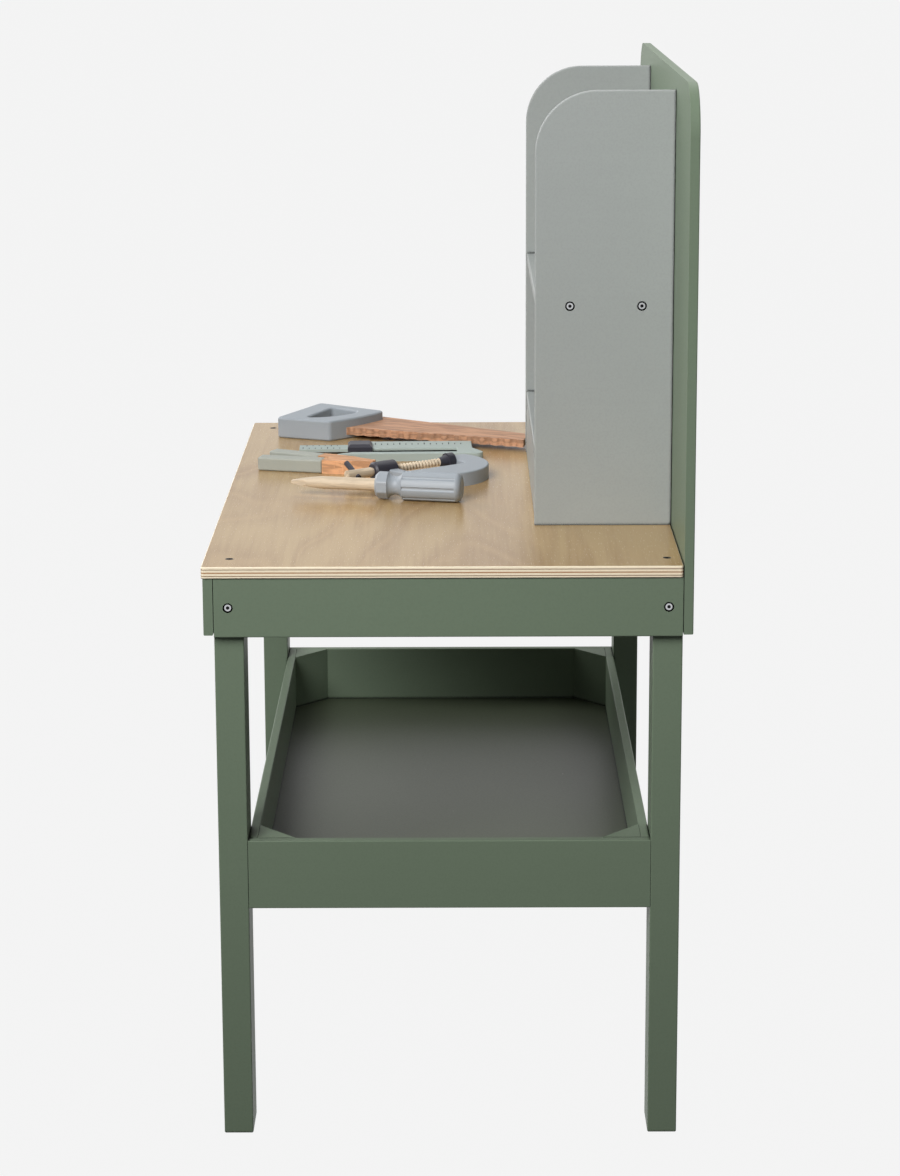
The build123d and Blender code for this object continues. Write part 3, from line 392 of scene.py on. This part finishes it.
def plated_steel(name, colour):
    """Zinc-plated steel with turning marks, a darker film in places and painted shade in recesses."""
    finish = new_finish(name)
    film = finish.noise(300.0, detail=3.0)
    lines = finish.grain((2400.0, 2400.0, 2400.0), detail=2.0)
    body = finish.mix(film, toned(colour, 0.75), toned(colour, 1.1))
    # Painted shade: near black in sockets and recesses.
    body = finish.mix(finish.crevice_shade(0.003), body, toned(colour, 0.03))
    return finish.surface(base_color=body, metallic=1.0, roughness=0.2 + lines * 0.15,
                          normal=finish.bump(lines, 0.08, 0.0001))


def ink(name, colour):
    """Printed ink or blacking, slightly uneven."""
    finish = new_finish(name)
    thin = finish.noise(1200.0, detail=2.0)
    body = finish.mix(thin, toned(colour, 0.8), toned(colour, 1.3))
    return finish.surface(base_color=body, roughness=0.5 + thin * 0.2, specular_ior_level=0.2)


def dress(material, *names):
    """Gives CAD nodes a finish."""
    for name in names:
        slots = NODES[name].data.materials
        slots.clear()
        slots.append(material)


# Pieces


def settings(group):
    return getattr(bpy.context.scene, group)


class WORKBENCH_OT_frame(bpy.types.Operator):
    """Paint the legs, the aprons, the back panel and the tray"""
    bl_idname = "workbench.frame"
    bl_label = "Painted frame"

    def execute(self, context):
        colours = settings("bench_colours")
        green = painted_board("frame_green_paint", colours.frame, rough=0.46, gloss=0.2)
        dress(green, "leg_front_left", "leg_front_right", "leg_back_left", "leg_back_right", "back_panel",
              "apron_front", "apron_left", "apron_right", "tray_end_left", "tray_end_right", "tray_wall_front",
              "tray_wall_back", "tray_corner_blocks")
        dress(painted_board("tray_bottom_paint", colours.tray, rough=0.36, gloss=0.5, dust=0.8), "tray_floor")
        return {"FINISHED"}


class WORKBENCH_OT_top(bpy.types.Operator):
    """Varnish the plywood top"""
    bl_idname = "workbench.top"
    bl_label = "Plywood top"

    def execute(self, context):
        low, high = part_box("tabletop")
        dress(plywood_top("varnished_plywood", settings("bench_colours"), low.z, high.z), "tabletop")
        return {"FINISHED"}


class WORKBENCH_OT_shelves(bpy.types.Operator):
    """Paint the shelf unit"""
    bl_idname = "workbench.shelves"
    bl_label = "Shelf unit"

    def execute(self, context):
        grey = painted_board("shelf_grey_paint", settings("bench_colours").shelf, rough=0.46, gloss=0.2)
        dress(grey, "shelf_side_left", "shelf_side_right", "shelf_upper", "shelf_lower", "shelf_plinth")
        return {"FINISHED"}


class WORKBENCH_OT_fixings(bpy.types.Operator):
    """Finish the bolts, the sleeves, the screws and the dowels"""
    bl_idname = "workbench.fixings"
    bl_label = "Fixings"

    def execute(self, context):
        colours = settings("bench_colours")
        dress(plated_steel("plated_steel", colours.steel),
              *[name for name in NODES if name.endswith(("_bolts", "_inserts"))])
        dress(ink("blackened_steel", colours.screws), "top_screws", "shelf_screws")
        dress(bare_wood("dowel_wood", settings("tool_colours").pale, turn=0.0), "shelf_dowels")
        return {"FINISHED"}


class WORKBENCH_OT_saw(bpy.types.Operator):
    """Paint the saw's handle and finish its blade"""
    bl_idname = "workbench.saw"
    bl_label = "Saw"

    def execute(self, context):
        colours = settings("tool_colours")
        dress(tool_paint("saw_handle_paint", colours.blue, SAW_TURN, rough=0.42), "saw_handle")
        dress(bare_wood("saw_blade_wood", colours.blade, SAW_TURN), "saw_blade")
        return {"FINISHED"}


class WORKBENCH_OT_screwdriver(bpy.types.Operator):
    """Paint the screwdriver's handle and finish its shaft"""
    bl_idname = "workbench.screwdriver"
    bl_label = "Screwdriver"

    def execute(self, context):
        colours = settings("tool_colours")
        dress(tool_paint("driver_handle_paint", colours.blue, DRIVER_TURN, rough=0.36), "screwdriver_handle")
        dress(bare_wood("driver_shaft_wood", colours.pale, DRIVER_TURN, contrast=0.35), "screwdriver_shaft")
        return {"FINISHED"}


class WORKBENCH_OT_pliers(bpy.types.Operator):
    """Paint the pliers' grips and finish the jaws"""
    bl_idname = "workbench.pliers"
    bl_label = "Pliers"

    def execute(self, context):
        colours = settings("tool_colours")
        dress(tool_paint("grip_paint", colours.green, PLIERS_TURN, rough=0.44),
              "pliers_grip_near", "pliers_grip_far")
        dress(bare_wood("jaw_wood", colours.jaw, PLIERS_TURN),
              "pliers_jaw_near", "pliers_jaw_far", "pliers_pin")
        return {"FINISHED"}


def mark_row(mesh, start, count, share, top, marks):
    """A row of thin blocks along the gauge, behind a line, or before it where share is negative."""
    for i in range(count):
        length = abs(share) * (marks.long if i % marks.every == 0 else marks.short)
        middle = (start[0] + i * marks.pitch, start[1] + math.copysign(length, share) / 2, top)
        made = bmesh.ops.create_cube(mesh, size=1.0)["verts"]
        bmesh.ops.scale(mesh, verts=made, vec=(marks.width, length, marks.proud * 2))
        bmesh.ops.translate(mesh, verts=made, vec=middle)
        bmesh.ops.rotate(mesh, verts=made, cent=(0, 0, 0), matrix=Matrix.Rotation(GAUGE_TURN, 3, "Z"))


def shape(name, mesh, material):
    """An object of a finished bmesh, at the origin."""
    data = bpy.data.meshes.new(name)
    mesh.to_mesh(data)
    mesh.free()
    data.materials.append(material)
    made = bpy.data.objects.new(name, data)
    bpy.context.scene.collection.objects.link(made)
    return made


def piece(name, mesh, material, body):
    """A new piece of the workbench, hung on its body."""
    made = shape(name, mesh, material)
    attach(made, body)


class WORKBENCH_OT_gauge(bpy.types.Operator):
    """Paint the slide gauge and print its marks"""
    bl_idname = "workbench.gauge"
    bl_label = "Slide gauge"

    def execute(self, context):
        colours = settings("tool_colours")
        marks = settings("gauge_marks")
        dress(tool_paint("gauge_paint", colours.gauge, GAUGE_TURN, rough=0.44), "gauge_frame", "gauge_rule")
        dress(tool_paint("gauge_thumb_paint", colours.dark, GAUGE_TURN, rough=0.40), "gauge_thumb")
        black = ink("gauge_ink", marks.ink)
        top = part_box("gauge_frame")[1].z
        mesh = bmesh.new()
        mark_row(mesh, STRIP_ROW, 15, 1.0, top, marks)
        bmesh.ops.translate(mesh, verts=mesh.verts, vec=GAUGE_PLACE)
        piece("gauge_strip_marks", mesh, black, "gauge")
        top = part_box("gauge_rule")[1].z
        mesh = bmesh.new()
        mark_row(mesh, RULE_FRONT_ROW, 7, 0.7, top, marks)
        mark_row(mesh, RULE_BACK_ROW, 6, -0.5, top, marks)
        bmesh.ops.translate(mesh, verts=mesh.verts, vec=GAUGE_PLACE)
        piece("gauge_rule_marks", mesh, black, "gauge_slider")
        return {"FINISHED"}


class WORKBENCH_OT_clamp(bpy.types.Operator):
    """Paint the clamp and finish its spindle"""
    bl_idname = "workbench.clamp"
    bl_label = "Clamp"

    def execute(self, context):
        colours = settings("tool_colours")
        dress(tool_paint("clamp_paint", colours.blue, CLAMP_TURN, rough=0.42), "clamp_frame")
        dress(tool_paint("clamp_dark_paint", colours.dark, CLAMP_TURN, rough=0.38),
              "clamp_nut", "clamp_pad", "clamp_tommy_bar")
        dress(bare_wood("spindle_wood", colours.pale, CLAMP_TURN, contrast=0.8), "clamp_spindle")
        return {"FINISHED"}


# Stage


def sight(finish):
    """1 for rays that see the plain backdrop: the camera's, the reflected and the transmitted ones."""
    path = finish.node("ShaderNodeLightPath", out="Is Camera Ray")
    rays = path.socket.node.outputs
    total = path + Wire(finish, rays["Is Glossy Ray"]) + Wire(finish, rays["Is Transmission Ray"])
    return finish.node("ShaderNodeMath", {"operation": "MINIMUM"}, {0: total, 1: 1.0})


def lamp(name, power, size, place, target, spread=180.0):
    """A large soft lamp that faces a point, with its light kept within a cone."""
    data = bpy.data.lights.new(name, "AREA")
    data.shape = "RECTANGLE"
    data.size, data.size_y = size
    data.energy = power
    data.spread = math.radians(spread)
    made = bpy.data.objects.new(name, data)
    made.location = place
    made.rotation_euler = (Vector(target) - Vector(place)).to_track_quat("-Z", "Y").to_euler()
    bpy.context.scene.collection.objects.link(made)


class WORKBENCH_OT_stage(bpy.types.Operator):
    """Lay the floor, and set the lamps, the sky and the camera"""
    bl_idname = "workbench.stage"
    bl_label = "Stage"

    def execute(self, context):
        studio = settings("studio")
        scene = context.scene
        scene.view_settings.view_transform = "Standard"
        floor = new_finish("studio_floor")
        matt = floor.node("ShaderNodeBsdfDiffuse", None, {"Color": toned(studio.floor, 1.0)})
        glow = floor.node("ShaderNodeEmission", None,
                          {"Color": toned(studio.backdrop, 1.0), "Strength": FLOOR_GLOW})
        shader = floor.node("ShaderNodeMixShader", None, {0: sight(floor) * FLOOR_PLAIN, 1: matt, 2: glow})
        floor.node("ShaderNodeOutputMaterial", None, {"Surface": shader})
        mesh = bmesh.new()
        bmesh.ops.create_grid(mesh, x_segments=1, y_segments=1, size=FLOOR_REACH)
        shape("studio_floor", mesh, floor.owner)
        scene.world = bpy.data.worlds.new("studio_sky")
        sky = Finish(scene.world)
        even = sky.node("ShaderNodeBackground", None, {"Color": WHITE, "Strength": studio.sky})
        plain = sky.node("ShaderNodeBackground", None, {"Color": toned(studio.backdrop, 1.0)})
        both = sky.node("ShaderNodeMixShader", None, {0: sight(sky), 1: even, 2: plain})
        sky.node("ShaderNodeOutputWorld", None, {"Surface": both})
        lamp("overhead_lamp", studio.overhead, size=(1.6, 1.6),
             place=(-0.9, 0.2, 2.4), target=(0.0, 0.0, 0.55))
        lamp("camera_side_lamp", studio.end, size=(1.5, 1.5),
             place=(1.9, -1.0, 2.1), target=(0.3, 0.0, 1.05), spread=80.0)
        lamp("bench_front_lamp", studio.front, size=(1.6, 1.6),
             place=(-1.5, -1.7, 1.8), target=(0.0, 0.0, 0.6))
        lamp("rear_lamp", studio.rear, size=(1.2, 1.2),
             place=(-0.3, 2.2, 2.2), target=(0.0, 0.23, 0.6))
        camera = bpy.data.cameras.new("photo_camera")
        camera.lens = studio.lens
        camera.sensor_width = CAMERA_SENSOR
        camera.shift_y = CAMERA_SHIFT
        view = bpy.data.objects.new("photo_camera", camera)
        view.location = CAMERA_PLACE
        view.rotation_euler = [math.radians(angle) for angle in CAMERA_TURN]
        scene.collection.objects.link(view)
        scene.camera = view
        return {"FINISHED"}


OPERATORS = (
    WORKBENCH_OT_frame, WORKBENCH_OT_top, WORKBENCH_OT_shelves, WORKBENCH_OT_fixings, WORKBENCH_OT_saw,
    WORKBENCH_OT_screwdriver, WORKBENCH_OT_pliers, WORKBENCH_OT_gauge, WORKBENCH_OT_clamp, WORKBENCH_OT_stage)


class WORKBENCH_PT_panel(bpy.types.Panel):
    """The workbench's settings and the steps that dress it"""
    bl_idname = "WORKBENCH_PT_panel"
    bl_label = "Workbench"
    bl_space_type = "VIEW_3D"
    bl_region_type = "UI"
    bl_category = "Workbench"

    def draw(self, context):
        for group, kind in SETTINGS.items():
            box = self.layout.box()
            for name in kind.__annotations__:
                box.prop(getattr(context.scene, group), name)
        for operator in OPERATORS:
            self.layout.operator(operator.bl_idname)


def register():
    for group, kind in SETTINGS.items():
        bpy.utils.register_class(kind)
        setattr(bpy.types.Scene, group, PointerProperty(type=kind))
    for kind in OPERATORS + (WORKBENCH_PT_panel,):
        bpy.utils.register_class(kind)


def unregister():
    for kind in (WORKBENCH_PT_panel,) + OPERATORS[::-1]:
        bpy.utils.unregister_class(kind)
    for group, kind in SETTINGS.items():
        delattr(bpy.types.Scene, group)
        bpy.utils.unregister_class(kind)


def main():
    register()
    for operator in OPERATORS:
        group, step = operator.bl_idname.split(".")
        getattr(getattr(bpy.ops, group), step)()


if __name__ == "__main__":
    main()
